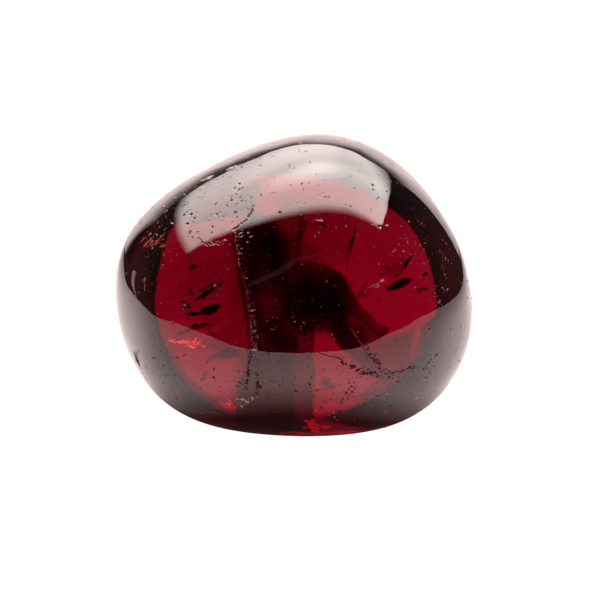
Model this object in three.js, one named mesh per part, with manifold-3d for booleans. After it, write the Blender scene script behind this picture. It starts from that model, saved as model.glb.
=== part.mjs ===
// A tumbled and polished garnet: one pebble of clear, dark red stone, worn round
// on every side, that rests on a small flat left on its underside.
// Millimetres, +Z up, and the front of the stone faces -Y. The origin is the
// middle of the underside of the stone's own box, so it stands on Z = 0.

import * as THREE from "three";
import { mergeVertices } from "three/addons/utils/BufferGeometryUtils.js";
import Module from "manifold-3d";

// The faces of the rough stone, now worn into one smooth surface. Each is square
// to a direction out from the inner centre: "turn" is the angle from +X towards
// +Y, "rise" the angle above level, both in degrees, and "out" the distance.
const WORN_FACES = [
  { turn: 0, rise: -90, out: 9.9 },     // underside
  { turn: 0, rise: 88, out: 11.5 },     // top
  { turn: 0, rise: 4, out: 16.5 },      // right end
  { turn: 0, rise: 49, out: 9.9 },
  { turn: 0, rise: -48, out: 12.7 },
  { turn: 180, rise: -8, out: 15.8 },   // left end
  { turn: 180, rise: 62, out: 8.5 },
  { turn: 180, rise: -58, out: 12.3 },
  { turn: -90, rise: -10, out: 8.5 },   // front
  { turn: -35, rise: 8, out: 9.4 },
  { turn: -152, rise: 2, out: 10.4 },
  { turn: -90, rise: 48, out: 8.1 },
  { turn: -90, rise: -40, out: 11.6 },
  { turn: 90, rise: 6, out: 10.8 },     // back
  { turn: 53, rise: 4, out: 9.9 },
  { turn: 121, rise: 3, out: 9.8 },
  { turn: 90, rise: 50, out: 11.4 },
  { turn: 90, rise: -44, out: 10.5 },
];

// How hard the faces still show: higher keeps them flatter, with tighter edges.
const FACE_HARDNESS = 5;

// From the inner centre straight down to the flat that the stone rests on.
const REST_DEPTH = 8.9;

// Each edge of the 20-sided starting ball is divided into one part more than this.
const BALL_DETAIL = 15;

const GARNET_RED = 0x6e0a16;
const POLISH_ROUGHNESS = 0.06;

// Larger than the stone, for the block that cuts its resting flat.
const CUTTER_SIZE = 60;

function faceNormal({ turn, rise }) {
  const around = THREE.MathUtils.degToRad(turn);
  const up = THREE.MathUtils.degToRad(rise);
  return new THREE.Vector3(
    Math.cos(around) * Math.cos(up),
    Math.sin(around) * Math.cos(up),
    Math.sin(up),
  );
}

// The distance from the inner centre to the worn surface along a direction. The
// nearest face sets it, and the faces beside it round off the edges between them.
function surfaceRadius(direction, faces) {
  let sum = 0;
  for (const { normal, out } of faces) {
    const facing = Math.max(0, normal.dot(direction));
    sum += (facing / out) ** FACE_HARDNESS;
  }
  return sum ** (-1 / FACE_HARDNESS);
}

function pebbleGeometry() {
  const faces = WORN_FACES.map((face) => ({ normal: faceNormal(face), out: face.out }));
  const geometry = new THREE.IcosahedronGeometry(1, BALL_DETAIL);
  const position = geometry.getAttribute("position");
  const direction = new THREE.Vector3();
  for (let i = 0; i < position.count; i += 1) {
    direction.fromBufferAttribute(position, i).normalize();
    direction.multiplyScalar(surfaceRadius(direction, faces));
    position.setXYZ(i, direction.x, direction.y, direction.z);
  }
  return geometry;
}

function restingCutterGeometry() {
  const geometry = new THREE.BoxGeometry(CUTTER_SIZE, CUTTER_SIZE, CUTTER_SIZE);
  return geometry.translate(0, 0, -REST_DEPTH - CUTTER_SIZE / 2);
}

function toSolid(wasm, geometry) {
  geometry.deleteAttribute("normal");
  geometry.deleteAttribute("uv");
  const merged = mergeVertices(geometry);
  const vertProperties = new Float32Array(merged.getAttribute("position").array);
  const triVerts = new Uint32Array(merged.getIndex().array);
  return new wasm.Manifold(new wasm.Mesh({ numProp: 3, vertProperties, triVerts }));
}

function toGeometry(solid) {
  const mesh = solid.getMesh();
  const geometry = new THREE.BufferGeometry();
  geometry.setAttribute("position", new THREE.BufferAttribute(mesh.vertProperties, 3));
  geometry.setIndex(new THREE.BufferAttribute(mesh.triVerts, 1));
  geometry.computeVertexNormals();
  return geometry;
}

// Moves the geometry so that the middle of its box's underside is the origin.
function standOnOrigin(geometry) {
  geometry.computeBoundingBox();
  const { min, max } = geometry.boundingBox;
  return geometry.translate(-(min.x + max.x) / 2, -(min.y + max.y) / 2, -min.z);
}

const wasm = await Module();
wasm.setup();
const pebble = toSolid(wasm, pebbleGeometry());
const cutter = toSolid(wasm, restingCutterGeometry());

const garnet = new THREE.Mesh(
  standOnOrigin(toGeometry(pebble.subtract(cutter))),
  new THREE.MeshStandardMaterial({
    color: GARNET_RED,
    roughness: POLISH_ROUGHNESS,
    metalness: 0,
  }),
);
garnet.name = "garnet";

const group = new THREE.Group();
group.add(garnet);

export default group;
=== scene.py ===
from math import cos, pi, radians, sin

import bmesh
import bpy
import numpy as np
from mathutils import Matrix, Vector, noise
from mathutils.kdtree import KDTree


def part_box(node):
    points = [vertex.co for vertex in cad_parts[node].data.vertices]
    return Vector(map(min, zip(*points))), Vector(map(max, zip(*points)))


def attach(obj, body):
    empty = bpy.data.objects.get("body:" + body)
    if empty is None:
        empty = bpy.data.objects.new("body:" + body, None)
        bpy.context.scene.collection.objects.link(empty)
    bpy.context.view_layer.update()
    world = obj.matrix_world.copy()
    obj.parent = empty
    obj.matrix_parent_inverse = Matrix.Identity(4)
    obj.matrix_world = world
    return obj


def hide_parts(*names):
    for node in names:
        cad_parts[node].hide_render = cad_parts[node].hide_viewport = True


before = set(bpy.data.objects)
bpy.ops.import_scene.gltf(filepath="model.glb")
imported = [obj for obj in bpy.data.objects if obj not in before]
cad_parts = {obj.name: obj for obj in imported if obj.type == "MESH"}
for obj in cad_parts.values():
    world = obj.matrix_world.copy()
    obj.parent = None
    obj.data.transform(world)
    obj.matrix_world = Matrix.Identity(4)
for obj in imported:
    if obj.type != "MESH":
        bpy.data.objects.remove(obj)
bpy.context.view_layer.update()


# ----------------------------------------------------------------------------
# Garnet
# One pebble of clear, dark red garnet, tumbled until the faces of the rough
# stone are only flatter areas, then polished. It lies loose on its own flat.

MM = 0.001

# The rough stone's faces, each square to a direction out from the inner centre:
# the angle from +X towards +Y, the angle above level, and the distance in mm.
WORN_FACES = (
    (0, -90, 9.9), (0, 88, 11.5),
    (0, 4, 16.5), (0, 49, 9.9), (0, -48, 12.7),
    (180, -8, 15.8), (180, 62, 8.5), (180, -58, 12.3),
    (-90, -10, 8.5), (-35, 8, 9.4), (-152, 2, 10.4), (-90, 48, 8.1), (-90, -40, 11.6),
    (90, 6, 10.8), (53, 4, 9.9), (121, 3, 9.8), (90, 50, 11.4), (90, -44, 10.5),
)
# How square the edges between the worn faces have stayed, and how far below the inner
# centre the flat is that the stone rests on, in mm.
FACE_HARDNESS = 5
REST_DEPTH = 8.9


def towards(turn, rise):
    """The unit direction at an angle from +X towards +Y and an angle above level."""
    turn, rise = radians(turn), radians(rise)
    return np.array((cos(turn) * cos(rise), sin(turn) * cos(rise), sin(rise)))


FACE_NORMALS = np.array([towards(turn, rise) for turn, rise, _ in WORN_FACES])
FACE_DISTANCES = np.array([out for _, _, out in WORN_FACES])


def worn_radius(directions):
    """From the inner centre out to the worn surface, in mm, along unit directions."""
    facing = np.maximum(directions @ FACE_NORMALS.T, 0) / FACE_DISTANCES
    return (facing ** FACE_HARDNESS).sum(axis=1) ** (-1 / FACE_HARDNESS)


def ball_mesh(subdivisions):
    """A ball of radius 1, which every small body and the stone itself are shaped from."""
    ball = bmesh.new()
    bmesh.ops.create_icosphere(ball, subdivisions=subdivisions, radius=1)
    return ball


def as_object(name, mesh_data):
    piece = bpy.data.objects.new(name, mesh_data)
    bpy.context.collection.objects.link(piece)
    return piece


def directions_of(ball):
    """The unit directions from the inner centre to the corners of a ball."""
    found = np.array([vertex.co for vertex in ball.verts])
    return found / np.linalg.norm(found, axis=1)[:, None]


def worn_points(directions):
    """The polished surface along unit directions, in mm from the inner centre."""
    points = directions * worn_radius(directions)[:, None]
    points[:, 2] = np.maximum(points[:, 2], -REST_DEPTH)
    return points


STONE_SUBDIVISIONS = 6

stone_low, stone_high = (np.array(corner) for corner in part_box("garnet"))
ball = ball_mesh(STONE_SUBDIVISIONS)
points = worn_points(directions_of(ball))
box_middle = (points.min(axis=0) + points.max(axis=0)) / 2
INNER_CENTRE = np.array((
    (stone_low[0] + stone_high[0]) / 2 - box_middle[0] * MM,
    (stone_low[1] + stone_high[1]) / 2 - box_middle[1] * MM,
    stone_low[2] + REST_DEPTH * MM,
))


def in_stone(x, y, z):
    """How far out points in mm are: 0 at the inner centre and 1 at the worn surface."""
    x, y, z = np.broadcast_arrays(x, y, z)
    spots = np.stack((x, y, z), axis=-1).reshape(-1, 3) - INNER_CENTRE / MM
    reach = np.linalg.norm(spots, axis=1)
    share = reach / worn_radius(spots / reach[:, None])
    return np.maximum(share, -spots[:, 2] / REST_DEPTH).reshape(x.shape)


BEFORE_THE_STONE = -20
HALVINGS = 30


def front_point(x, z, below=0):
    """The point of the front surface at an x and z in mm, or one at a depth below it."""
    inner, outer = INNER_CENTRE[1] / MM, BEFORE_THE_STONE
    for _ in range(HALVINGS):
        middle = (inner + outer) / 2
        if in_stone(x, middle, z) < 1:
            inner = middle
        else:
            outer = middle
    return np.array((x, inner + below, z))


# Pits on the front as x, z and radius, and scratches as the x, z they run through with
# a radius, in mm. The last number is how ragged the scratch is.
PITS = (
    (-5.2, 15.3, 0.07), (-4.7, 15.5, 0.06), (-3.6, 15.5, 0.09), (-3.3, 15.5, 0.09),
    (-3.45, 15.35, 0.08), (-4.7, 14.8, 0.08), (-4.6, 14.4, 0.1), (-4.0, 14.8, 0.06),
    (-3.5, 14.6, 0.1), (-3.4, 14.4, 0.06), (-6.2, 14.1, 0.11), (-6.4, 13.7, 0.1),
    (-6.1, 13.2, 0.07), (-4.9, 13.6, 0.06), (-3.8, 15.1, 0.05), (1.2, 14.35, 0.05),
    (0.6, 15.6, 0.05), (5.1, 15.1, 0.06), (4.7, 14.0, 0.06), (3.4, 16.2, 0.05),
    (-9.65, 4.6, 0.24), (-9.5, 4.3, 0.18), (-9.75, 4.9, 0.16), (-9.4, 4.05, 0.08),
    (3.3, 4.3, 0.07), (3.45, 4.5, 0.06), (3.5, 4.1, 0.07), (3.3, 4.0, 0.06), (3.6, 4.75, 0.05),
    (4.0, 5.1, 0.06), (5.9, 5.1, 0.06), (6.3, 4.8, 0.07), (6.2, 4.5, 0.06), (2.4, 4.0, 0.05),
    (-2.2, 5.4, 0.07), (-1.9, 5.5, 0.04), (0.1, 5.2, 0.05), (-7.6, 6.4, 0.07), (-7.0, 6.1, 0.07),
    (-8.0, 7.2, 0.05), (-8.4, 5.9, 0.06), (-8.7, 6.9, 0.05), (8.9, 6.4, 0.05), (7.2, 7.8, 0.05),
)
SCRATCHES = (
    (((3.4, 8.4), (3.9, 7.5), (4.4, 6.7), (4.8, 6.2)), 0.022, 0.5),
    (((4.5, 6.6), (4.9, 6.1), (5.2, 5.9)), 0.075, 0.8),
    (((2.9, 6.2), (3.4, 5.9), (4.0, 5.5), (4.5, 5.35), (5.1, 5.15)), 0.085, 0.9),
    (((1.5, 6.9), (2.0, 6.7), (2.7, 6.5), (3.1, 6.1)), 0.03, 0.6),
    (((5.5, 5.2), (6.4, 5.15), (7.0, 5.3), (7.5, 5.15)), 0.05, 0.9),
    (((7.8, 4.9), (8.3, 5.4), (8.8, 5.6)), 0.035, 0.5),
    (((-2.4, 15.0), (-2.45, 14.8), (-2.7, 14.5), (-3.0, 14.25), (-3.4, 13.95), (-3.7, 13.8)), 0.06, 0.6),
    (((-5.7, 13.2), (-5.3, 13.0), (-4.9, 13.05), (-4.7, 13.2), (-4.0, 13.4)), 0.06, 0.5),
    (((-3.45, 13.7), (-3.4, 13.2), (-3.25, 12.4), (-3.0, 11.6), (-2.8, 10.8), (-2.7, 10.0),
      (-2.55, 9.2), (-2.55, 8.4), (-2.5, 7.6)), 0.04, 0.9),
    (((-2.45, 7.5), (-2.6, 6.6), (-2.75, 5.6), (-2.8, 4.8), (-2.9, 4.2)), 0.05, 0.9),
    (((-3.0, 3.1), (-2.8, 3.5), (-2.5, 3.7), (-2.2, 4.1), (-2.1, 4.5), (-2.0, 4.9)), 0.09, 0.9),
    (((-1.9, 13.0), (-1.4, 12.5)), 0.02, 0.4),
)
# A scratch is a row of small dents, this far apart for a radius of 1. A ragged one has
# gaps, and its dents differ in size.
DENT_SPACING = 0.9
MOST_GAPS = 0.3
SMALLER, LARGER = -0.6, 0.3
STRAY_PITS = 420
STRAY_LOWEST = -0.7
STRAY_SMALLEST, STRAY_LARGEST = 0.04, 0.1
DENT_STEEPNESS = 0.7

chance = np.random.default_rng(7)
dents = [(front_point(x, z), radius) for x, z, radius in PITS]
scratched = []
for line, radius, ragged in SCRATCHES:
    for (ax, az), (bx, bz) in zip(line, line[1:]):
        steps = int(np.hypot(bx - ax, bz - az) / (radius * DENT_SPACING)) + 1
        for step in range(steps):
            if chance.random() < ragged * MOST_GAPS:
                continue
            share = step / steps
            off = chance.normal(0, radius * ragged, 2)
            size = radius * (1 + ragged * chance.uniform(SMALLER, LARGER))
            spot = front_point(ax + (bx - ax) * share + off[0], az + (bz - az) * share + off[1])
            scratched.append((spot, size))
dents += scratched
stray = chance.normal(size=(STRAY_PITS, 3))
stray_ways = stray / np.linalg.norm(stray, axis=1)[:, None]
stray_ways = stray_ways[stray_ways[:, 2] > STRAY_LOWEST]
stray = worn_points(stray_ways) + INNER_CENTRE / MM
stray_sizes = STRAY_SMALLEST + (STRAY_LARGEST - STRAY_SMALLEST) * chance.random(len(stray)) ** 2
dents += list(zip(stray, stray_sizes))
dent_spots = np.array([spot for spot, _ in dents])
dent_sizes = np.array([size for _, size in dents])


RIPPLE_WAVES = 14
STONE_RADIUS = 10


def ripples(directions, size, seed):
    """Smooth swells over the whole surface, mostly from -1 to 1, about a size in mm wide."""
    chance = np.random.default_rng(seed)
    waves = chance.normal(0, 2 * STONE_RADIUS / size, (RIPPLE_WAVES, 3))
    starts = chance.uniform(0, 2 * pi, RIPPLE_WAVES)
    total = sum(np.sin(directions @ wave + start) for wave, start in zip(waves, starts))
    return total / RIPPLE_WAVES ** 0.5


def near_dents(places, margins):
    """Pairs of place and dent numbers for the places within a margin of a dent."""
    tree = KDTree(len(places))
    for number, place in enumerate(places):
        tree.insert(place, number)
    tree.balance()
    return [[(number, apart) for _, number, apart in tree.find_range(spot, margin)]
            for spot, margin in zip(dent_spots, margins)]


# The mesh is refined in rounds around the dents, so that each pit is a real hollow. Each
# round has its reach past a dent, in mm, and the last one leaves out dents over a radius.
REFINEMENTS = ((0.4, 0), (0.16, 0), (0.07, 0), (0.02, 0.09))

for beyond, only_under in REFINEMENTS:
    bmesh.ops.triangulate(ball, faces=[face for face in ball.faces if len(face.verts) > 3])
    centres = np.array([face.calc_center_median() for face in ball.faces])
    centres = worn_points(centres / np.linalg.norm(centres, axis=1)[:, None]) + INNER_CENTRE / MM
    wanted = (dent_sizes < only_under) if only_under else np.ones(len(dent_sizes), bool)
    margins = np.where(wanted, dent_sizes + beyond, 0)
    close = {number for found in near_dents(centres, margins) for number, _ in found}
    ball.faces.ensure_lookup_table()
    edges = {edge for number in close for edge in ball.faces[number].edges}
    bmesh.ops.subdivide_edges(ball, edges=list(edges), cuts=1, use_grid_fill=True)
bmesh.ops.triangulate(ball, faces=[face for face in ball.faces if len(face.verts) > 3])

directions = directions_of(ball)
points = worn_points(directions)
sunk = np.zeros(len(points))
for number, found in enumerate(near_dents(points + INNER_CENTRE / MM, dent_sizes)):
    for place, apart in found:
        hollow = 1 - (apart / dent_sizes[number]) ** 2
        sunk[place] = max(sunk[place], hollow * DENT_STEEPNESS * dent_sizes[number])

# No tumbled skin is quite even. The swells are higher at the back, in mm, and they fade
# out over the last 2 mm above the flat, which stays level.
FRONT_SWELL = 0.0015
BACK_SWELL = 0.012
BACK_RIPPLE = 0.004
FADE_HEIGHT = 2

at_back = np.clip(directions[:, 1] * 2 + 0.5, 0, 1)
behind = ripples(directions, 2.6, 4) * BACK_SWELL + ripples(directions, 1, 5) * BACK_RIPPLE
swell = ripples(directions, 2, 3) * FRONT_SWELL + at_back * behind
swell *= np.clip((points[:, 2] + REST_DEPTH) / FADE_HEIGHT, 0, 1)
points += directions * (swell - sunk)[:, None]
for vertex, point in zip(ball.verts, points * MM + INNER_CENTRE):
    vertex.co = point
for face in ball.faces:
    face.smooth = True
stone_mesh = bpy.data.meshes.new("garnet_pebble")
ball.to_mesh(stone_mesh)
ball.free()
pebble = as_object("garnet_pebble", stone_mesh)


class Flow:
    """What one socket of a node tree gives out, with the maths that can be done on it."""

    def __init__(self, tree, socket):
        self.tree = tree
        self.socket = socket

    def maths(self, operation, *values):
        inputs = dict(enumerate(values))
        return self.tree.node("Math", {"operation": operation}, inputs)

    def __add__(self, other):
        return self.maths("ADD", self, other)

    def __sub__(self, other):
        return self.maths("SUBTRACT", self, other)

    def __rsub__(self, other):
        return self.maths("SUBTRACT", other, self)

    def __mul__(self, other):
        return self.maths("MULTIPLY", self, other)

    def __truediv__(self, other):
        return self.maths("DIVIDE", self, other)

    def __rtruediv__(self, other):
        return self.maths("DIVIDE", other, self)

    def __pow__(self, other):
        return self.maths("POWER", self, other)

    def __rpow__(self, other):
        return self.maths("POWER", other, self)

    def at_most(self, other):
        return self.maths("MINIMUM", self, other)

    def blend(self, start, end, at_start, at_end):
        """Turns smoothly from one value to another as this one goes from start to end."""
        return self.tree.node("MapRange", {"interpolation_type": "SMOOTHSTEP"}, {
            "Value": self, "From Min": start, "From Max": end,
            "To Min": at_start, "To Max": at_end})

    __radd__ = __add__
    __rmul__ = __mul__


class Finish:
    """The node tree of a material or of the world; its node method makes every node."""

    def __init__(self, owner):
        owner.use_nodes = True
        self.tree = owner.node_tree
        self.tree.nodes.clear()

    def node(self, kind, settings=None, sockets=None, out=0):
        made = self.tree.nodes.new("ShaderNode" + kind)
        for name, value in (settings or {}).items():
            if name == "stops":
                self.set_stops(made.color_ramp, value)
            else:
                setattr(made, name, value)
        for name, value in (sockets or {}).items():
            self.feed(made.inputs[name], value)
        return Flow(self, made.outputs[out]) if made.outputs else None

    def feed(self, socket, value):
        if isinstance(value, Flow):
            self.tree.links.new(value.socket, socket)
        else:
            socket.default_value = value

    @staticmethod
    def set_stops(ramp, stops):
        while len(ramp.elements) < len(stops):
            ramp.elements.new(0)
        for element, (position, colour) in zip(ramp.elements, stops):
            element.position = position
            element.color = colour


def clear_finish(name, roughness, ior, colour, density):
    """Clear matter that takes its colour from its depth alone; the density is per metre."""
    material = bpy.data.materials.new(name)
    finish = Finish(material)
    surface = finish.node("BsdfPrincipled", None, {
        "Base Color": (1, 1, 1, 1),
        "Roughness": roughness,
        "IOR": ior,
        "Transmission Weight": 1,
    })
    depth = finish.node("VolumeAbsorption", None, {"Color": colour, "Density": density})
    finish.node("OutputMaterial", None, {"Surface": surface, "Volume": depth})
    return material


POLISH_ROUGHNESS = 0.015
GARNET_IOR = 1.77
GARNET_RED = (0.793, 0.022, 0.356, 1)
GARNET_DENSITY = 450

stone_mesh.materials.append(
    clear_finish("polished_garnet", POLISH_ROUGHNESS, GARNET_IOR, GARNET_RED, GARNET_DENSITY))
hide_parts("garnet")
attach(pebble, "root")


# ----------------------------------------------------------------------------
# Smoke
# Dark zones seen in the stone, each made as a closed sheet of dark smoke that faces the front, thicker
# where the zone is darker. The wide dark band right of the old crack down the front is painted shade,
# standing for the dark seen past the crack inside the stone.

def outside(outline, x, z):
    """How far points are outside a closed outline, in mm, and below zero inside it."""
    nearest = np.full(x.shape, np.inf)
    inside = np.zeros(x.shape, bool)
    for (ax, az), (bx, bz) in zip(outline, outline[1:] + outline[:1]):
        along = ((x - ax) * (bx - ax) + (z - az) * (bz - az)) / ((bx - ax) ** 2 + (bz - az) ** 2)
        along = np.clip(along, 0, 1)
        nearest = np.minimum(nearest, np.hypot(x - ax - along * (bx - ax), z - az - along * (bz - az)))
        if az != bz:
            inside ^= ((z < az) != (z < bz)) & (x < ax + (z - az) * (bx - ax) / (bz - az))
    return np.where(inside, -nearest, nearest)


def smooth_step(value):
    value = np.clip(value, 0, 1)
    return value * value * (3 - 2 * value)


SMOKE_WAVES = 16


def uneven(x, z, size, seed):
    """Smooth ups and downs, mostly from -1 to 1, about as wide as the size in mm."""
    chance = np.random.default_rng(seed)
    waves = chance.normal(0, 2 / size, (SMOKE_WAVES, 2))
    starts = chance.uniform(0, 2 * pi, SMOKE_WAVES)
    total = sum(np.sin(a * x + b * z + start) for (a, b), start in zip(waves, starts))
    return total / SMOKE_WAVES ** 0.5


def uneven_twice(x, z, waves, seed):
    """Coarse and fine ups and downs together, each with its own height and size."""
    (coarse, coarse_size), (fine, fine_size) = waves
    return coarse * uneven(x, z, coarse_size, seed) + fine * uneven(x, z, fine_size, seed + 1)


SMOKE_X = (-8, 8)
SMOKE_Z = (0.6, 13.5)
# How the edges of the clouds stray, in mm, and how patchy their darkness is: the height
# and the size of the coarse ups and downs, and of the fine ones.
EDGE_WAVES = ((0.06, 0.7), (0.025, 0.2))
PATCHINESS = ((0.13, 0.5), (0.11, 0.18))
# A sheet bends gently back and forth, and it thins out to nothing under the skin.
SHEET_BEND = 0.15
BEND_SIZE = 2.5
SMOKE_REACH = 0.96
REACH_FADE = 0.03
FAINTEST = 0.01
# Smoke takes light away and doesn't bend it.
SMOKE_IOR = 1
SMOKE_COLOUR = (0.02, 0, 0.01, 1)


def smoke_sheet(name, depth, spacing, density, patches):
    """A closed sheet at one depth from front to back, from patches laid over each other.

    A patch is its outline of x, z corners, how far it reaches past them, half the width
    of its soft edge, and its darkness, of which 1 dims the light to about a third. The
    density is the darkness of 1 mm of smoke.
    """
    x, z = np.meshgrid(np.arange(*SMOKE_X, spacing), np.arange(*SMOKE_Z, spacing), indexing="ij")
    wavy_x = x + uneven_twice(x, z, EDGE_WAVES, 1)
    wavy_z = z + uneven_twice(x, z, EDGE_WAVES, 3)
    dark = np.zeros(x.shape)
    for outline, reach, soft, darkness in patches:
        cover = smooth_step(0.5 - (outside(outline, wavy_x, wavy_z) - reach) / (2 * soft))
        dark += (darkness - dark) * cover
    dark *= np.maximum(1 + uneven_twice(x, z, PATCHINESS, 5), 0)
    middle = depth + SHEET_BEND * uneven(x, z, BEND_SIZE, 7)
    dark *= smooth_step((SMOKE_REACH - in_stone(x, middle, z)) / REACH_FADE)
    dark[dark < FAINTEST] = 0
    dark[[0, -1]] = 0
    dark[:, [0, -1]] = 0
    half = dark / density / 2

    used = np.zeros(x.shape, bool)
    cells = np.argwhere((half[:-1, :-1] + half[1:, :-1] + half[:-1, 1:] + half[1:, 1:]) > 0)
    for i, j in ((0, 0), (1, 0), (1, 1), (0, 1)):
        used[cells[:, 0] + i, cells[:, 1] + j] = True
    front = np.cumsum(used.ravel()).reshape(x.shape) - 1
    solid = used & (half > 0)
    back = np.where(solid, used.sum() + np.cumsum(solid.ravel()).reshape(x.shape) - 1, front)
    corners = np.concatenate((
        np.stack((x, middle - half, z), axis=-1)[used],
        np.stack((x, middle + half, z), axis=-1)[solid],
    ))
    faces = []
    for i, j in cells:
        ring = ((i, j), (i + 1, j), (i + 1, j + 1), (i, j + 1))
        faces.append([front[node] for node in ring])
        faces.append([back[node] for node in reversed(ring)])
    sheet_mesh = bpy.data.meshes.new(name)
    sheet_mesh.from_pydata(corners * MM, [], faces)
    sheet_mesh.polygons.foreach_set("use_smooth", [True] * len(faces))
    sheet_mesh.materials.append(clear_finish(name, 0, SMOKE_IOR, SMOKE_COLOUR, density / MM))
    sheet = as_object(name, sheet_mesh)
    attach(sheet, "root")


smoke_sheet("smoky_heart", depth=0, spacing=0.06, density=1.8, patches=(
    ([(-0.6, 8.1), (-0.3, 8.65), (0.6, 8.95), (1.5, 8.9), (2.2, 8.35), (2.55, 7.8), (2.3, 7.3),
      (1.2, 7.05), (0.2, 7.15), (-0.4, 7.6)], 0, 0.35, 3),
    ([(1.6, 6.9), (2.9, 6.9), (4.6, 4.2), (4.1, 4.2)], 0, 0.08, 1.15),
    ([(3.1, 6.6), (3.7, 6.5), (5.2, 4.2), (4.5, 4.2)], 0, 0.15, 0.7),
    ([(3.9, 6.1), (4.9, 6.3), (5.2, 4.2), (5, 4.2)], 0, 0.2, 0.9),
    ([(5.35, 6.3), (6.4, 6.7), (6.4, 4.2), (5.15, 4.2)], 0, 0.1, 1.4),
    ([(1.4, 7.4), (2.1, 7.6), (2.6, 7.1), (3.35, 6.3), (2.8, 6.05), (2.2, 6.3)], 0, 0.1, 3),
    ([(2.4, 7.8), (2.8, 7.5), (3.6, 6.5), (3.3, 6.35), (2.4, 7.2)], 0, 0.1, 1.3),
    ([(0.3, 7.95), (1.8, 8)], 0.4, 0.6, 4.4),
    ([(2.4, 8.05), (3.05, 7.35)], 0.12, 0.08, 3.2),
    ([(3.05, 7.35), (3.85, 6.45)], 0.075, 0.06, 3.2),
    ([(2.7, 8), (3.1, 8.5)], 0.03, 0.07, 1.4),
    ([(2.95, 8.2), (3.1, 8.15)], 0.05, 0.07, 0.9),
))

smoke_sheet("smoky_column", depth=0, spacing=0.07, density=3.5, patches=(
    ([(-5.6, 6.4), (-5.25, 6), (-5.1, 5.1), (-4.75, 4.4), (-4.25, 3.8), (-3.7, 3.5), (-6, 3), (-6.5, 5)],
     0, 0.15, 0.8),
    ([(3.5, 3.8), (4.2, 4.5), (5.2, 4.6), (5, 3), (3, 3)], 0, 0.2, 0.8),
    ([(-6.4, 10.2), (-4.6, 10.4), (-3.2, 10.5), (-2.2, 11), (-1.7, 11.6), (-1.6, 13.8), (-6.8, 13.8)],
     0, 0.25, 1.1),
    ([(-5.25, 12.3), (-5.0, 11.6)], 0.1, 0.15, 2.4),
    ([(-2.3, 12.6), (-2.15, 11.6)], 0.15, 0.15, 2.6),
    ([(-4.2, 12.9), (-3.8, 11.6)], 0.15, 0.25, 0.3),
    ([(-4.6, 10.4), (-4.3, 10.6)], 0.15, 0.2, 1.8),
    ([(2.6, 9), (4.4, 9), (5.2, 11.5), (3.1, 12.2)], 0, 0.4, 0.14),
    ([(-0.5, 9.2), (2.6, 9.2), (3.1, 11.2), (3, 12.2), (-0.8, 12.2)], 0, 0.3, 0.38),
    ([(-0.5, 9.2), (0.5, 9.2), (0.8, 11.3), (-0.2, 11.8), (-0.9, 11)], 0, 0.25, 0.75),
    ([(-4.8, 7.4), (-3.2, 7.2), (-3, 9.8), (-4.8, 9.8)], 0, 0.4, 0.36),
    ([(-4.3, 6.3), (-3.5, 7.2), (-2.6, 7.3), (-2.6, 6.1), (-3.6, 5.95)], 0, 0.15, 0.5),
    ([(-4.6, 6.9), (-3.6, 7.4)], 0.08, 0.15, 0.6),
    ([(-3.2, 9.7), (-2.4, 9.7), (-2.2, 5), (-2.8, 3.4), (-3.3, 3.4), (-3.1, 5.2), (-2.9, 6.2),
      (-3.2, 7.2), (-3.3, 8.4)], 0, 0.15, 0.6),
    # Painted shade: the wide dark band right of the old crack, standing for the dark seen past the crack
    # inside the stone.
    ([(-2.8, 9.2), (-0.5, 9.2), (-0.3, 7.6), (0.05, 7), (0.05, 1), (-3.05, 1), (-3, 4), (-2.75, 5.2),
      (-2.35, 6.4), (-2.4, 7.2), (-2.6, 8)], 0, 0.08, 2),
    ([(0, 7.3), (0.95, 7.2), (1, 6.5), (1.2, 1), (0.1, 1)], 0, 0.07, 1.25),
    ([(-2.4, 8.7), (-0.6, 8.7), (-0.4, 7.6), (0, 7.1), (0.05, 6.2), (-1.6, 6.15), (-2.2, 7)], 0, 0.25, 2.4),
    ([(-1.5, 7.3), (0.1, 7.3), (0.05, 6.2), (-1.5, 6.2)], 0, 0.2, 2.9),
    ([(-0.5, 9.9), (0.3, 9.9), (0.4, 9.1), (-0.9, 8.6)], 0, 0.15, 1.9),
    ([(0.3, 9.1), (0.4, 9.8), (1.1, 9.6), (1.3, 9.1)], 0, 0.2, 0.8),
    ([(-3, 9.5), (-2.5, 10.1), (-1.8, 10.7), (-1.2, 10.5), (-0.5, 9.9), (-0.4, 9.2), (-0.6, 8.5),
      (-1.9, 8.4), (-2.75, 8.4)], 0, 0.15, 3),
    ([(-2.3, 10.8), (-1, 10.8), (-0.7, 10.2), (-1.6, 10.15), (-2.6, 10.1)], 0, 0.25, 1.9),
    ([(-1.8, 9.5), (-1.0, 9.3)], 0.3, 0.4, 4),
    ([(0.55, 10.9), (0.1, 9.9)], 0.07, 0.12, 1.8),
    ([(-0.15, 10.7), (-0.2, 10)], 0.04, 0.1, 1.3),
    ([(1.15, 10.65), (1.5, 10.65)], 0.1, 0.15, 0.9),
    ([(1.45, 4.2), (1.5, 4.65), (1.95, 4.55), (1.9, 4.25)], 0, 0.1, 0.8),
    ([(1.2, 3.9), (1.7, 4.0), (2.2, 4.2)], 0.03, 0.1, 0.7),
))

# Fine streaks fan out above the heart, and faint wisps slant up on the left.
STREAK_TOPS = (-0.35, -0.1, 0.9, 1.15, 1.3, 1.8, 2.3, 2.6)
WISP_COUNT = 16

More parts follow.
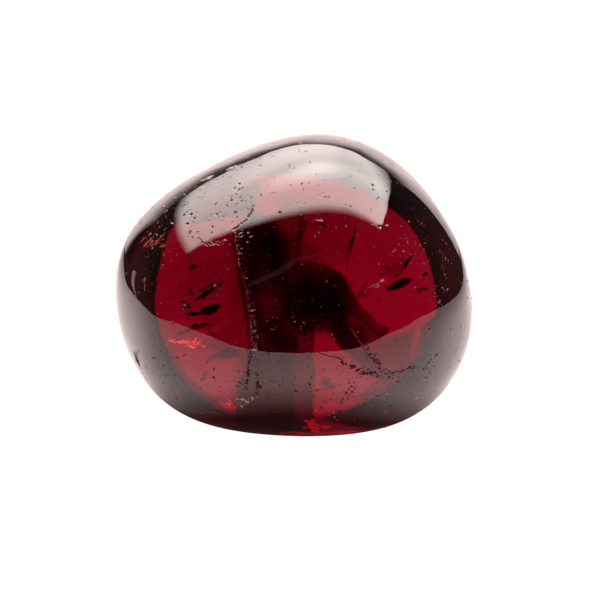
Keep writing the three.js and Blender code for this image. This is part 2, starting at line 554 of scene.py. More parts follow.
chance = np.random.default_rng(9)
streaks = tuple(([(x, 13.5), (x * 0.85 + 0.1, 11.2)], 0.01, 0.05, 0.5) for x in STREAK_TOPS)
wisp_x = chance.uniform(-6.8, -4, WISP_COUNT)
wisp_z = chance.uniform(7, 10.6, WISP_COUNT)
wisp_lengths = chance.uniform(0.4, 1.3, WISP_COUNT)
wisps = tuple(([(x, z), (x + length, z + length * 0.55)], 0.05, 0.12, 0.28)
              for x, z, length in zip(wisp_x, wisp_z, wisp_lengths))
smoke_sheet("smoky_veil", depth=-4, spacing=0.045, density=6, patches=streaks + wisps + (
    ([(0.7, 13.1), (0.35, 11.9)], 0.05, 0.08, 1.6),
    ([(-6.1, 7.25), (-5, 7.8)], 0.07, 0.08, 1.1),
    ([(-5, 7.8), (-4.4, 7.9)], 0.05, 0.06, 0.9),
    ([(-4.6, 7.5), (-4.2, 7.3)], 0.08, 0.1, 0.8),
    ([(-4.9, 5.7), (-4.4, 5.95), (-3, 6.25), (-3, 6.45), (-3.55, 6.8), (-4.3, 6.25)], 0, 0.08, 1),
    ([(-5.1, 4.6), (-4.75, 5.1)], 0.03, 0.05, 1.8),
    ([(-3.9, 4.7), (-3.5, 4.75)], 0.03, 0.05, 0.9),
    ([(-4.95, 4.4), (-4.7, 4.45)], 0.03, 0.05, 0.8),
    ([(-3.75, 5), (-3.6, 5.2)], 0.03, 0.05, 0.8),
    # Painted shadow: a soft dark wedge below and left of the dark line, standing for the shadow it throws.
    ([(4.2, 10.3), (4.9, 10.9), (5.9, 11.2), (6.5, 11.3), (5.9, 10.6), (5.3, 10.1)], 0, 0.15, 0.4),
    ([(4.75, 9.35), (5.1, 9.75), (5.7, 10), (6.5, 10), (6, 9.7), (5.3, 9.4)], 0, 0.07, 3),
    ([(6.85, 9.35), (7.6, 9.6)], 0.06, 0.08, 1.8),
    ([(6.65, 11.55), (5.95, 10.7)], 0.05, 0.04, 3.5),
    ([(5.95, 10.7), (5.3, 10.1)], 0.03, 0.04, 1.8),
    ([(3.55, 13.2), (3.2, 12.2)], 0.03, 0.05, 1.8),
    ([(3.2, 12.2), (3.1, 11.8)], 0.07, 0.06, 2.6),
    ([(3.1, 11.8), (2.85, 10.4)], 0.02, 0.05, 1),
    ([(4.3, 8.9), (4.35, 8.85)], 0.08, 0.08, 0.8),
    ([(3, 9.85), (3.05, 9.8)], 0.03, 0.04, 1.8),
    ([(4.15, 8.3), (4.2, 8.35)], 0.03, 0.04, 1.2),
    ([(1.55, 4.45), (1.75, 4.8), (2, 4.6), (2.25, 4.35), (2.2, 4.15), (1.9, 4.3)], 0, 0.06, 0.8),
    ([(1.68, 3.05), (1.72, 3.1)], 0.06, 0.06, 1.6),
))


# ----------------------------------------------------------------------------
# Black grains
# Lens-shaped grains of a black mineral that the garnet grew around, some of them in
# chains. Each is a lumpy spindle, and they lie in one layer behind the front.

GRAIN_DEPTH = -4
# Each grain runs from one x, z to another, with its thickness, in mm.
BLACK_GRAINS = (
    (-5.0, 8.42, -3.95, 8.85, 0.42), (-4.75, 8.5, -4.3, 8.65, 0.44), (-5.6, 8.3, -4.95, 8.42, 0.24),
    (-5.15, 9.05, -4.9, 9.17, 0.14), (-4.97, 9.12, -4.6, 9.35, 0.24), (-4.75, 9.28, -4.45, 9.48, 0.22),
    (-4.5, 9.42, -4.2, 9.62, 0.2), (-4.25, 9.58, -3.8, 9.85, 0.16), (-5.05, 9.4, -4.7, 9.58, 0.12),
    (-4.7, 9.55, -4.2, 9.85, 0.1), (-5.4, 9.6, -5.3, 9.2, 0.09), (-5.48, 9.4, -5.4, 9.2, 0.07),
    (-5.55, 10.48, -5.2, 10.55, 0.2), (-5.85, 8.92, -5.6, 8.85, 0.15), (-5.62, 8.82, -5.4, 8.65, 0.18),
    (-5.8, 8.75, -5.6, 8.62, 0.12), (-6, 9.78, -5.88, 9.62, 0.07), (-6.45, 9.22, -6.35, 9.38, 0.06),
    (-5.5, 8.15, -5.45, 8.0, 0.07), (-5.2, 9.65, -5.15, 9.6, 0.07), (-5.9, 8.2, -5.8, 8.15, 0.06),
    (-5.35, 7.72, -5.0, 7.88, 0.13), (-4.95, 7.85, -4.55, 7.97, 0.11), (-4.5, 7.45, -4.3, 7.4, 0.12),
    (-5.15, 4.55, -4.95, 4.85, 0.1), (-4.95, 4.85, -4.75, 5.2, 0.09),
    (5.0, 9.45, 5.6, 9.75, 0.2), (6.3, 11.1, 6.6, 11.5, 0.13), (6.1, 10.85, 6.35, 11.15, 0.12),
    (5.95, 10.65, 6.12, 10.87, 0.1), (3.2, 12.3, 3.12, 11.9, 0.09), (-4.3, 10.2, -4.15, 10.15, 0.07),
)
GRAIN_SUBDIVISIONS = 4
GRAIN_LUMPS = 0.5
GRAIN_TAPER = 0.35


def spindle(length_axis, middle, half_length, half_width):
    """A lumpy spindle along a direction in the x, z plane, from its middle and half sizes."""
    ball = ball_mesh(GRAIN_SUBDIVISIONS)
    across = np.array((-length_axis[2], 0, length_axis[0]))
    for vertex in ball.verts:
        x, y, z = vertex.co
        lump = 1 + GRAIN_LUMPS * noise.noise(vertex.co * 2 + Vector(middle) * 5)
        narrow = lump * (1 - GRAIN_TAPER * abs(x)) * half_width
        place = middle + length_axis * x * half_length + across * z * narrow
        vertex.co = (place + np.array((0, y * narrow, 0))) * MM
    return ball


def joined(name, balls, material):
    """One mesh piece of many small closed bodies."""
    whole = bmesh.new()
    for ball in balls:
        part = bpy.data.meshes.new("part")
        ball.to_mesh(part)
        ball.free()
        whole.from_mesh(part)
        bpy.data.meshes.remove(part)
    bmesh.ops.recalc_face_normals(whole, faces=whole.faces)
    whole_mesh = bpy.data.meshes.new(name)
    whole.to_mesh(whole_mesh)
    whole.free()
    whole_mesh.materials.append(material)
    piece = as_object(name, whole_mesh)
    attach(piece, "root")
    return piece


def black_mineral():
    """Nearly black, with a faint red cast and an uneven shine."""
    material = bpy.data.materials.new("black_mineral")
    finish = Finish(material)
    place = finish.node("TexCoord", out="Object")
    cloudy = finish.node("TexNoise", None, {"Vector": place, "Scale": 6 / MM, "Detail": 3})
    colour = finish.node("ValToRGB", {"stops": (
        (0.35, (0.004, 0.001, 0.001, 1)), (0.7, (0.03, 0.002, 0.003, 1)))}, {"Fac": cloudy})
    surface = finish.node("BsdfPrincipled", None, {
        "Base Color": colour, "Roughness": cloudy.blend(0.3, 0.7, 0.25, 0.6)})
    finish.node("OutputMaterial", None, {"Surface": surface})
    return material


spindles = []
for ax, az, bx, bz, thickness in BLACK_GRAINS:
    span = np.array((bx - ax, 0, bz - az))
    half = np.linalg.norm(span) / 2
    middle = np.array(((ax + bx) / 2, GRAIN_DEPTH, (az + bz) / 2))
    spindles.append(spindle(span / half / 2, middle, half, thickness / 2))
grains = joined("black_grains", spindles, black_mineral())
for face in grains.data.polygons:
    face.use_smooth = True


# ----------------------------------------------------------------------------
# Flashes
# Flat gaps inside the stone, made as ragged plates far thinner than wide, in a few crumpled groups. The
# light they throw back out, red after its way through the garnet, is a painted reflection: the plates glow
# red with painted light.

FLAKE_CORNERS = 7
# From the middle of a flake to its back, in mm, and how unevenly far out its corners are.
HALF_FLAKE = np.array((0, 0.0075, 0))
RAGGED = (0.6, 1.1)


def flake(chance, middle, along, across):
    """A thin closed plate with a ragged outline, from its middle and its two half widths."""
    plate = bmesh.new()
    rings = [[], []]
    for corner in range(FLAKE_CORNERS):
        angle = 2 * pi * corner / FLAKE_CORNERS
        reach = chance.uniform(*RAGGED)
        spot = middle + reach * (along * cos(angle) + across * sin(angle))
        for ring, half in zip(rings, (HALF_FLAKE, -HALF_FLAKE)):
            ring.append(plate.verts.new((spot + half) * MM))
    plate.faces.new(rings[0])
    plate.faces.new(rings[1][::-1])
    for corner in range(FLAKE_CORNERS):
        after = (corner + 1) % FLAKE_CORNERS
        plate.faces.new((rings[0][after], rings[0][corner], rings[1][corner], rings[1][after]))
    return plate


# Each group has its middle x, z, its spread in x and z, how many flakes, their length
# and width, how far below the surface they are, all in mm, and their tilt from level.
FLASH_GROUPS = (
    (-5.6, 6.78, 0.3, 0.11, 24, 0.5, 0.15, 3.4, 18), (-6.35, 6.72, 0.15, 0.04, 4, 0.55, 0.1, 3.4, 5),
    (-8.7, 11.9, 0.35, 0.15, 8, 0.75, 0.22, 0.7, 30), (-7.9, 12.3, 0.3, 0.12, 8, 0.6, 0.2, 0.7, 15),
    (1.2, 1.7, 0.35, 0.3, 16, 0.6, 0.3, 0.5, -25), (2.7, 0.8, 1.5, 0.06, 50, 1.3, 0.08, 0.4, 4),
    (-4.9, 2.5, 0.7, 0.12, 7, 0.4, 0.07, 0.5, -4), (-3.9, 3.1, 0.5, 0.14, 14, 0.6, 0.1, 0.6, -22),
    (7.3, 2.9, 0.05, 0.05, 2, 0.3, 0.2, 0.4, 60),
)
FLASH_SIZES = (0.4, 1.2)
FLASH_DEPTHS = (0.8, 1.2)
FLASH_TILT_SPREAD = 14
LEAN_ALONG, LEAN_ACROSS = 0.3, 0.5


def flash_groups(seed):
    """All the flakes, each a little off its group's place, size, depth and tilt."""
    chance = np.random.default_rng(seed)
    made = []
    for x, z, spread_x, spread_z, count, length, width, below, tilt in FLASH_GROUPS:
        for _ in range(count):
            slip_x, slip_z = chance.normal(0, 1, 2)
            size = chance.uniform(*FLASH_SIZES) / 2
            turn = radians(tilt + chance.normal(0, FLASH_TILT_SPREAD))
            depth = below * chance.uniform(*FLASH_DEPTHS)
            spot = front_point(x + slip_x * spread_x, z + slip_z * spread_z, depth)
            along = np.array((cos(turn), chance.normal(0, LEAN_ALONG), sin(turn)))
            across = np.array((-sin(turn), chance.normal(0, LEAN_ACROSS), cos(turn)))
            made.append(flake(chance, spot, along * length * size, across * width * size))
    return made


# The flakes glow with painted light, standing for the bright red flashes and the red edge line that the
# gaps throw back.
PAINTED_FLASH_GLOW = 1.1
DEEP_RED = (0.3, 0.002, 0.004, 1)
BROWN_RED = (0.16, 0.02, 0.008, 1)


def painted_flash_glow():
    """A painted red glow, bright and patchy, deeper low down in the stone and browner in its upper half."""
    material = bpy.data.materials.new("painted_red_flashes")
    finish = Finish(material)
    place = finish.node("TexCoord", out="Object")
    patchy = finish.node("TexNoise", None, {"Vector": place, "Scale": 4 / MM, "Detail": 2})
    bright = finish.node("ValToRGB", {"stops": (
        (0.38, (0.12, 0.004, 0.004, 1)), (0.62, (1, 0.15, 0.1, 1)))}, {"Fac": patchy})
    height = finish.node("SeparateXYZ", None, {0: place}, out="Z") / MM
    deep_red = finish.node("Mix", {"data_type": "RGBA"}, {
        "Factor": height.blend(2.5, 4.5, 1, 0), "A": bright, "B": DEEP_RED}, out="Result")
    colour = finish.node("Mix", {"data_type": "RGBA"}, {
        "Factor": height.blend(8, 9, 0, 0.8), "A": deep_red, "B": BROWN_RED}, out="Result")
    surface = finish.node("BsdfPrincipled", None, {
        "Base Color": colour, "Roughness": 0.35, "Specular IOR Level": 0,
        "Emission Color": colour, "Emission Strength": PAINTED_FLASH_GLOW})
    finish.node("OutputMaterial", None, {"Surface": surface})
    return material


joined("painted_red_flashes", flash_groups(12), painted_flash_glow())


# ----------------------------------------------------------------------------
# Chips and dirt
# Tiny marks in the skin. Polish and dirt, dried brown, fill the pits; chips where the garnet is bruised are
# pale, most of them along the old crack that runs down the front. The pale chips glow a little with a
# painted glint, and a few groups of them by the black grains are painted highlights, standing for specks of
# light the surface catches.

def unit(direction):
    return direction / np.linalg.norm(direction)


# Steps to three places close by, and the pairs of them that lie across each other.
STEPS_ASIDE = np.array([(0, 0, 0), (0, 0.002, 0), (0.002, 0, 0), (0, 0, 0.002)])
STEP_PAIRS = ((0, 1), (0, 2), (1, 2))
NEARLY_UP = (0.1, 0, 1)


def skin_frame(direction, tilt):
    """The surface point in mm along a direction, and directions along, across and out there."""
    ways = direction + STEPS_ASIDE
    spots = worn_points(ways / np.linalg.norm(ways, axis=1)[:, None])
    steps = spots[1:] - spots[0]
    crossed = [np.cross(steps[one], steps[other]) for one, other in STEP_PAIRS]
    out = unit(max(crossed, key=np.linalg.norm))
    out *= np.sign(out @ direction)
    level = unit(np.cross(NEARLY_UP, out))
    upright = np.cross(out, level)
    along = level * cos(radians(tilt)) + upright * sin(radians(tilt))
    return spots[0] + INNER_CENTRE / MM, along, np.cross(out, along), out


MARK_SUBDIVISIONS = 2


def lens_mark(chance, frame_there, length, width, thickness):
    """One mark: a thin lens with an uneven outline, half sunk in the skin."""
    spot, along, across, out = frame_there
    lens = ball_mesh(MARK_SUBDIVISIONS)
    for vertex, bump in zip(lens.verts, chance.uniform(*RAGGED, len(lens.verts))):
        a, b, c = vertex.co
        place = along * a * length * bump + across * b * width * bump
        vertex.co = (spot + out * c * thickness + place / 2) * MM
    return lens


# Most marks in a group are small, down to this share of its length and width.
SMALLEST_MARK = 0.3
MARK_TILT_SPREAD = 22
OUTLINE_LIMIT = 0.99
LOWEST_RISE = -25


def marks(seed, groups, thickness):
    """Marks on the front: middle x, z, spread in x and z, count, length, width and tilt."""
    chance = np.random.default_rng(seed)
    made = []
    for x, z, spread_x, spread_z, count, length, width, tilt in groups:
        for _ in range(count):
            at_x, at_z = chance.normal((x, z), (spread_x, spread_z))
            size = SMALLEST_MARK + chance.random() ** 3
            turn = tilt + chance.normal(0, MARK_TILT_SPREAD)
            if in_stone(at_x, INNER_CENTRE[1] / MM, at_z) > OUTLINE_LIMIT:
                continue
            there = skin_frame(unit(front_point(at_x, at_z) - INNER_CENTRE / MM), turn)
            made.append(lens_mark(chance, there, length * size, width * size, thickness))
    return made


def marks_towards(seed, groups, thickness):
    """Marks around directions from the inner centre: turn, rise and spread in degrees first."""
    chance = np.random.default_rng(seed)
    made = []
    for turn, rise, spread, count, length, width, tilt in groups:
        for _ in range(count):
            at_turn, at_rise = chance.normal((turn, rise), spread)
            direction = towards(at_turn, max(at_rise, LOWEST_RISE))
            there = skin_frame(direction, tilt + chance.normal(0, MARK_TILT_SPREAD))
            size = SMALLEST_MARK + chance.random() ** 3
            made.append(lens_mark(chance, there, length * size, width * size, thickness))
    return made


def matt(name, one, other, painted_glint):
    """A rough finish of two mottled colours; the painted glint is a faint glow added to them, painted light
    standing for light caught from the stone.
    """
    material = bpy.data.materials.new(name)
    finish = Finish(material)
    place = finish.node("TexCoord", out="Object")
    patchy = finish.node("TexNoise", None, {"Vector": place, "Scale": 3 / MM, "Detail": 2})
    colour = finish.node("ValToRGB", {"stops": ((0.42, one), (0.6, other))}, {"Fac": patchy})
    surface = finish.node("BsdfPrincipled", None, {
        "Base Color": colour, "Roughness": 0.6, "Emission Color": colour, "Emission Strength": painted_glint})
    finish.node("OutputMaterial", None, {"Surface": surface})
    return material


CHIP_THICKNESS = 0.012
# The old crack down the front, as the x, z that its chips gather around.
CRACK = (
    (-3.4, 13.2), (-3.25, 12.4), (-3.0, 11.6), (-2.8, 10.8), (-2.7, 10), (-2.5, 9.2), (-2.5, 8.4),
    (-2.4, 7.6),
)
PALE_GROUPS = tuple((x + 0.12, z, 0.1, 0.3, 14, 0.11, 0.03, 70) for x, z in CRACK) + (
    (-3.05, 3.35, 0.16, 0.18, 70, 0.22, 0.11, 30), (-2.5, 3.8, 0.16, 0.12, 22, 0.2, 0.08, 60),
    (4.85, 10.8, 0.12, 0.05, 14, 0.36, 0.05, 30), (5.3, 11, 0.14, 0.05, 12, 0.36, 0.05, 30),
    (6.0, 12.6, 0.25, 0.3, 9, 0.2, 0.03, 50), (-6.6, 9.5, 0.12, 0.08, 6, 0.2, 0.07, -40),
    (-4.6, 10.5, 0.1, 0.25, 6, 0.2, 0.08, 110), (1.5, 14.4, 0.15, 0.03, 3, 0.45, 0.06, 5),
    (-9.0, 9.9, 0.08, 0.2, 7, 0.34, 0.1, 80), (-8.8, 8.6, 0.15, 0.3, 4, 0.24, 0.04, 110),
    (9.0, 9.3, 0.15, 0.15, 9, 0.22, 0.1, 50), (9.2, 11, 0.25, 0.7, 16, 0.22, 0.04, 110),
    (7.2, 12.7, 0.6, 0.9, 60, 0.13, 0.04, 60), (8.9, 10.5, 0.5, 1.6, 60, 0.12, 0.04, 80),
    (-8.0, 12.4, 0.6, 0.9, 26, 0.15, 0.05, 50), (-9.2, 10.4, 0.5, 1.6, 26, 0.13, 0.04, 80),
    (-7.9, 9.2, 0.8, 1.4, 14, 0.11, 0.03, 80), (0.5, 10.5, 4, 1.8, 90, 0.05, 0.025, 0),
    (4, 2.6, 2.0, 0.4, 20, 0.16, 0.05, 40), (5.6, 3.2, 0.15, 0.6, 14, 0.15, 0.06, 85),
    (0, 8, 5, 3, 50, 0.05, 0.03, 45), (-6, 10, 1.8, 1.6, 30, 0.06, 0.03, 30),
    (-5.0, 13.1, 0.7, 0.08, 12, 0.4, 0.06, 0), (-3.0, 13.6, 0.3, 0.4, 12, 0.3, 0.05, 50),
    (-5.5, 15.0, 0.25, 0.15, 12, 0.5, 0.1, 40), (-3.8, 15.7, 0.4, 0.15, 12, 0.5, 0.08, 30),
    (-2.3, 8.6, 0.13, 0.7, 18, 0.28, 0.1, 75), (-2.2, 7.4, 0.16, 0.4, 12, 0.25, 0.08, 50),
    (-1.2, 9.2, 0.5, 0.7, 14, 0.12, 0.05, 20), (1, 8.6, 0.6, 0.5, 8, 0.22, 0.06, 0),
)
PALE_RIM_GROUPS = (
    (178, 49, 1.4, 26, 0.5, 0.14, 60), (176, 61, 1.6, 26, 0.6, 0.11, 50), (186, 44, 4, 20, 0.2, 0.06, 60),
    (-168, 27, 3.5, 16, 0.3, 0.08, 50), (-161, 22, 4, 20, 0.16, 0.06, 60), (-175, 33, 4, 14, 0.3, 0.09, 30),
    (20, 30, 20, 20, 0.3, 0.04, 40), (110, 25, 30, 50, 0.35, 0.05, 40),
)
# The pale colour is the chips' own, kept light where chips stand for glints; the glint is a painted
# highlight, a faint glow.
BRUISED = (0.22, 0.08, 0.08, 1)
POWDERED = (0.85, 0.66, 0.66, 1)
PAINTED_CHIP_GLINT = 0.12

chips_and_glints = marks(11, PALE_GROUPS, CHIP_THICKNESS)
chips_and_glints += marks_towards(15, PALE_RIM_GROUPS, CHIP_THICKNESS)
joined("pale_chips_and_glints", chips_and_glints, matt("pale_chips_and_glints", BRUISED, POWDERED, PAINTED_CHIP_GLINT))

DIRT_THICKNESS = 0.014
DIRT_GROUPS = (
    (-4.6, 14.6, 0.9, 0.7, 70, 0.13, 0.09, 60), (-3.4, 15.2, 0.25, 0.25, 16, 0.2, 0.15, 50),
    (-6.2, 13.7, 0.3, 0.5, 16, 0.2, 0.14, 60), (0, 15, 4.5, 0.9, 100, 0.1, 0.06, 60),
    (5.2, 13.6, 0.9, 0.8, 30, 0.12, 0.06, 40), (-2.55, 14.4, 0.06, 0.4, 18, 0.24, 0.07, 70),
    (2, 14.6, 2.5, 0.8, 40, 0.35, 0.018, 50), (-2, 14.4, 2.5, 0.8, 30, 0.3, 0.018, 40),
    (-7.5, 5.6, 0.9, 1.2, 80, 0.17, 0.06, 75), (-4.5, 4.6, 1.3, 1.2, 60, 0.13, 0.05, 60),
    (-2.4, 5.2, 0.3, 1.1, 60, 0.2, 0.04, 80), (-2, 5.5, 0.5, 0.8, 50, 0.35, 0.02, 60),
    (0.3, 4.3, 1.6, 1.2, 70, 0.13, 0.05, 60), (-0.8, 5, 1.2, 0.8, 40, 0.3, 0.02, 50),
    (4.2, 4.6, 1.5, 1.1, 110, 0.16, 0.06, 45), (7.6, 5.8, 1.1, 1.4, 90, 0.15, 0.05, 50),
    (3.4, 4.2, 0.25, 0.25, 24, 0.14, 0.11, 45), (4.4, 5.3, 0.35, 0.05, 18, 0.3, 0.1, -12),
    (5.3, 5.2, 0.4, 0.06, 14, 0.2, 0.08, 0), (3.0, 5.9, 0.6, 0.08, 14, 0.15, 0.06, -20),
    (6.0, 5.0, 0.3, 0.2, 20, 0.18, 0.1, 30), (5.0, 6.1, 0.1, 0.3, 12, 0.26, 0.08, -55),
    (4.4, 7.0, 0.12, 0.5, 10, 0.3, 0.03, -60), (2.9, 6.5, 0.8, 0.1, 12, 0.14, 0.04, -15),
    (-9.6, 4.55, 0.08, 0.25, 24, 0.34, 0.16, 110), (-9.2, 3.6, 0.2, 0.3, 10, 0.22, 0.07, 70),
    (-2.7, 8.5, 0.1, 2.5, 40, 0.12, 0.05, 80), (0, 9, 5, 2.5, 60, 0.08, 0.04, 45),
)
DIRT_RIM_GROUPS = (
    (176, 56, 6, 30, 0.3, 0.1, 50), (172, 66, 5, 30, 0.3, 0.07, 40), (-172, 35, 6, 30, 0.25, 0.1, 60),
    (95, 10, 25, 60, 0.3, 0.06, 60), (30, 5, 18, 40, 0.25, 0.06, 60), (90, 50, 15, 30, 0.3, 0.05, 30),
)
# What fills a stray pit, in mm, and a dent of a scratch, for a radius of 1. Only a share
# of those dents hold dirt, and none does where the crack is full of chips.
PIT_LENGTH, PIT_WIDTH = 0.11, 0.06
DENT_LENGTH, DENT_WIDTH = 3, 1.6
FILLED_SHARE = 0.6
CLEAN_LOW, CLEAN_HIGH = 7.6, 13.9
DIRT_BLACK = (0.004, 0.001, 0.001, 1)
DIRT_BROWN = (0.035, 0.009, 0.008, 1)

chance = np.random.default_rng(14)
fillings = []
for way in stray_ways:
    there = skin_frame(way, chance.uniform(0, 180))
    fillings.append(lens_mark(chance, there, PIT_LENGTH, PIT_WIDTH, DIRT_THICKNESS))
for spot, size in scratched:
    if chance.random() < FILLED_SHARE and not CLEAN_LOW < spot[2] < CLEAN_HIGH:
        there = skin_frame(unit(spot - INNER_CENTRE / MM), chance.uniform(0, 180))
        fillings.append(lens_mark(chance, there, size * DENT_LENGTH, size * DENT_WIDTH, DIRT_THICKNESS))
dirt = marks(13, DIRT_GROUPS, DIRT_THICKNESS)
dirt += marks_towards(16, DIRT_RIM_GROUPS, DIRT_THICKNESS)
joined("pit_dirt", dirt + fillings, matt("pit_dirt", DIRT_BLACK, DIRT_BROWN, 0))


# ----------------------------------------------------------------------------
# Table, backdrop and lights
# A white sheet that ends not far from the stone, a white card behind it, and one large softbox overhead.
# The sheet and the card glow with painted light, standing for the softbox's light on them, with a painted
# shadow under the stone. The rest of the room is dark, and its gaps show as the dark bands in the polish.
# The camera sees only the pale floor and background.

BRIGHTEST = 10
# What a sheet still gives off where none of the lamps reaches it.
DUSK = (0.006, 0.0016, 0.0019, 1)


def lit_colour(finish, colour, level, unlit):
    """The colour of a light at a level, from what it has unlit up to the brightest."""
    return finish.node("Mix", {"data_type": "RGBA"}, {
        "Factor": level / BRIGHTEST, "A": unlit, "B": colour}, out="Result")


def glowing(name, colour, light_at):
    """A sheet of light; light_at works out its level from the x, y and z, in mm."""
    material = bpy.data.materials.new(name)
    finish = Finish(material)
    place = finish.node("NewGeometry", out="Position")
    x, y, z = (finish.node("SeparateXYZ", None, {0: place}, out=axis) / MM for axis in range(3))
    shade = lit_colour(finish, colour, light_at(x, y, z), DUSK)
    light = finish.node("Emission", None, {"Color": shade, "Strength": BRIGHTEST})
    finish.node("OutputMaterial", None, {"Surface": light})
    return material


def card(name, outline, material):
    """A flat stage panel from its corners in mm, seen by reflected rays alone."""
    panel_mesh = bpy.data.meshes.new(name)
    points = [np.array(corner) * MM for corner in outline]
    panel_mesh.from_pydata(points, [], [range(len(points))])
    panel_mesh.materials.append(material)
    panel = as_object(name, panel_mesh)
    panel.visible_camera = False
    panel.visible_transmission = False
    return panel


# The sheet's pink is painted red light from the stone, on a white sheet.
TABLE_PINK_LIGHT = (1, 0.83, 0.83, 1)
TABLE_DROP = -0.05


def table_light(x, y, z):
    """Brightest behind the stone, falling off to the sides, with a painted shadow right under it."""
    sideways = x - 5
    forwards = (y - 25).at_most(0)
    spread = (sideways * sideways + forwards * forwards) ** 0.5
    # Painted shadow of the stone on the table, from its contact out to about 13 mm.
    under = (x * x + y * y) ** 0.5
    return spread.blend(20, 50, 1.8, 0.6) * under.blend(7, 13, 0.01, 1) * y.blend(0, 30, 1, 1.3)


def curve_through(points, steps):
    """A smooth curve from the second of the points on to the last but one, left out itself."""
    points = np.array(points, float)
    ways = np.linspace(0, 1, steps, endpoint=False)[:, None]
    curve = []
    for before, start, end, after in zip(points, points[1:], points[2:], points[3:]):
        leave, arrive = (end - before) / 2, (after - start) / 2
        bend = 3 * (end - start) - 2 * leave - arrive
        turn = leave + arrive - 2 * (end - start)
        curve.extend(start + leave * ways + bend * ways ** 2 + turn * ways ** 3)
    return [tuple(point) for point in curve]


# The curved sheet's edge as x, y. Its first and last points only steer the curve.
TABLE_EDGE = (
    (-50, 120), (-50, 90), (-48, 52), (-38, 27), (-34.5, 8), (-30, -11), (-17, -19.3), (-2, -16.8),
    (7, -17.8), (20, -19.4), (34, -16), (47, -8.5), (55.5, 3), (57, 18), (53, 38), (52, 90), (52, 120),
)
EDGE_STEPS = 8

table_outline = curve_through(TABLE_EDGE, EDGE_STEPS) + [TABLE_EDGE[-2]]
card(
    "table_sheet",
    [(x, y, TABLE_DROP) for x, y in table_outline],
    glowing("table_sheet", TABLE_PINK_LIGHT, table_light),
)

BACKDROP_DEPTH = 90
# The card's pink is painted red light from the stone, on a white card.
BACKDROP_PINK_LIGHT = (1, 0.81, 0.8, 1)


def backdrop_light(x, y, z):
    """Bright low down in the middle, and fading to the top, sooner on the left."""
    risen = z + x.blend(-32, 8, 25, 0) + x.blend(20, 60, 0, 6)
    falling = risen.blend(43, 70, 1.95, 0.12) + x.blend(25, 45, 0, 1) * risen.blend(50, 80, 0.5, 0.1)
    return falling * z.blend(5, 32, 0.8, 1) * x.blend(30, 72, 1, 0.6) * x.blend(-74, -56, 0, 1)


BACKDROP_EDGE = (
    (-95, -1), (72, -1), (73, 60), (60, 69), (50, 73), (40, 75), (18, 69), (1, 61), (-11, 56),
    (-25, 51), (-45, 48), (-60, 40), (-95, 25),
)
card(
    "white_backdrop",
    [(x, BACKDROP_DEPTH, z) for x, z in BACKDROP_EDGE],
    glowing("white_backdrop", BACKDROP_PINK_LIGHT, backdrop_light),
)

SOFTBOX_HEIGHT = 300
SOFTBOX_WHITE = (1, 0.88, 0.85, 1)


def softbox_light(x, y, z):
    """Brighter to the right, with a tube lamp behind the cloth and soft front and side edges."""
    across = x / SOFTBOX_HEIGHT
    back = y / SOFTBOX_HEIGHT
    tube_bend = back - across.blend(0.5, 1, 0.54, 0.7)
    from_tube = (tube_bend * tube_bend) ** 0.5
    from_lamp = (across * across + from_tube * from_tube) ** 0.5
    from_middle = across + 0.15
    gleam = (from_middle * from_middle).blend(0, 0.2, 0.3, 0) * back.blend(0.6, 0.95, 0, 1)
    gleam = gleam * back.blend(1.1, 2, 1, 0.6)
    cloth = (across * 0.9 + 4) * back.blend(0.9, 2.8, 1.15, 0.68) * (gleam + 1)
    lamp = from_tube.blend(0, 0.35, 1.5, 0) * across.blend(-0.5, 0.1, 0, 1) + from_lamp.blend(0, 0.35, 3, 0)
    edges = back.blend(-0.12, 0.03, 0, 1) * across.blend(-1.4, -1, 0, 1) * across.blend(0.95, 1.06, 1, 0)
    corner = (across + back * 0.4).blend(0.95, 1.55, 1, 0.3)
    return (cloth + lamp) * edges * corner


# The softbox's edge as x, y for a height of 1. It reaches far back on the left.
SOFTBOX_EDGE = (
    (-1.4, -0.12), (1.0, -0.12), (1.0, 0.6), (1.08, 1.2), (0.97, 1.65), (0.68, 1.95), (0.17, 2.35),
    (-0.3, 2.9), (-0.65, 3.4), (-0.95, 3.8), (-1.5, 4.2),
)
card(
    "softbox",
    [(x * SOFTBOX_HEIGHT, y * SOFTBOX_HEIGHT, SOFTBOX_HEIGHT) for x, y in SOFTBOX_EDGE],
    glowing("softbox", SOFTBOX_WHITE, softbox_light),
)

# A strip of paper lies past the table's left edge.
PAPER_STRIP = ((-35, 17, 0), (-46, 31, 0), (-74, 58, 0), (-80, 58, 0), (-50, 32.5, 0), (-37, 18.5, 0))
card(
    "paper_strip",
    PAPER_STRIP,
    glowing("paper_strip", TABLE_PINK_LIGHT, lambda x, y, z: y.blend(18, 30, 0.5, 0.8)),
)

# Above and behind the camera there is a slit of light between two curtains.
SLIT_WHITE = (1, 0.9, 0.95, 1)
CURTAIN_SLIT = (
    (-62, -281, 86), (-36, -275, 119), (-2, -254, 160), (14, -215, 204), (52, -195, 229),
    (52, -189, 239), (4, -209, 223), (-14, -249, 180), (-49, -272, 138), (-73, -280, 98),
)
card(
    "curtain_slit",
    CURTAIN_SLIT,
    glowing("curtain_slit", SLIT_WHITE, lambda x, y, z: z.blend(150, 220, 0.055, 0.03)),
)

WHITE = (1, 1, 1, 1)
FLOOR_REACH = 3000
FLOOR_CORNERS = ((-1, -1), (1, -1), (1, 1), (-1, 1))
floor = card(
    "pale_floor",
    [(x * FLOOR_REACH, y * FLOOR_REACH, TABLE_DROP) for x, y in FLOOR_CORNERS],
    glowing("pale_floor", WHITE, lambda x, y, z: 1),
)
floor.visible_camera = True
floor.visible_diffuse = False
floor.visible_glossy = False

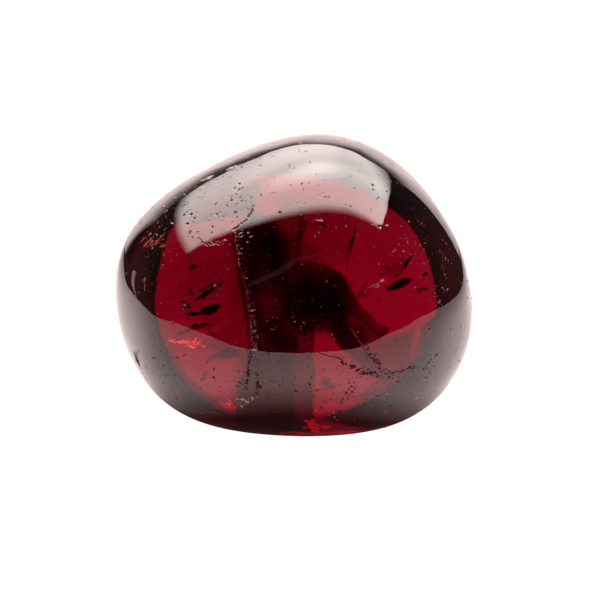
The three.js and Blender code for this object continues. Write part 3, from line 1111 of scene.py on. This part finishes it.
# The room around is white to the camera, bright to rays that have been through the
# stone, and nearly dark in what the stone mirrors.
BLACK = (0, 0, 0, 1)
ROOM_PINK = (1, 0.5, 0.52, 1)

room = bpy.data.worlds.new("room")
bpy.context.scene.world = room
room_light = Finish(room)
direct = room_light.node("LightPath", out="Is Camera Ray")
through = room_light.node("LightPath", out="Is Transmission Ray")
way = room_light.node("TexCoord", out="Generated")
side, deep, rise = (room_light.node("SeparateXYZ", None, {0: way}, out=axis) for axis in range(3))
glow = rise.blend(0.35, 0.75, 1.2, 0.5) * deep.blend(-0.35, 0.1, 0.25, 1)
lamp_glow = rise.blend(0.5, 0.66, 0, 1.7) * side.blend(-0.12, 0.03, 1, 0.15)
glow = glow * (lamp_glow + 1) * rise.blend(0.7, 0.78, 1, 0.4)
far = deep.blend(0.1, 0.6, 0.001, 0.07)
pale = room_light.node("Background", None, {"Color": WHITE, "Strength": 1})
dim = room_light.node("Background", None, {
    "Color": lit_colour(room_light, ROOM_PINK, far, BLACK), "Strength": BRIGHTEST})
lit = room_light.node("Background", None, {
    "Color": lit_colour(room_light, WHITE, glow, BLACK), "Strength": BRIGHTEST})
inside = room_light.node("MixShader", None, {0: through, 1: dim, 2: lit})
both = room_light.node("MixShader", None, {0: direct, 1: inside, 2: pale})
room_light.node("OutputWorld", None, {"Surface": both})
bpy.context.scene.view_settings.view_transform = "Standard"


# ----------------------------------------------------------------------------
# Camera
# A long lens from a little above, square on to the stone's front. The stone sits
# slightly high and left in the frame.

VIEW_RISE = radians(18)
VIEW_DISTANCE = 0.22
SENSOR_WIDTH = 36
# How wide the view is at the stone, and the point that the lens is aimed at, in metres.
FRAME_WIDTH = 0.03688
AIM = np.array((0.00037, -0.00067, 0.00770))

camera_data = bpy.data.cameras.new("camera")
camera_data.sensor_width = SENSOR_WIDTH
camera_data.lens = SENSOR_WIDTH * VIEW_DISTANCE / FRAME_WIDTH
camera = as_object("camera", camera_data)
camera.location = AIM + VIEW_DISTANCE * np.array((0, -cos(VIEW_RISE), sin(VIEW_RISE)))
camera.rotation_euler = (radians(90) - VIEW_RISE, 0, 0)
bpy.context.scene.camera = camera
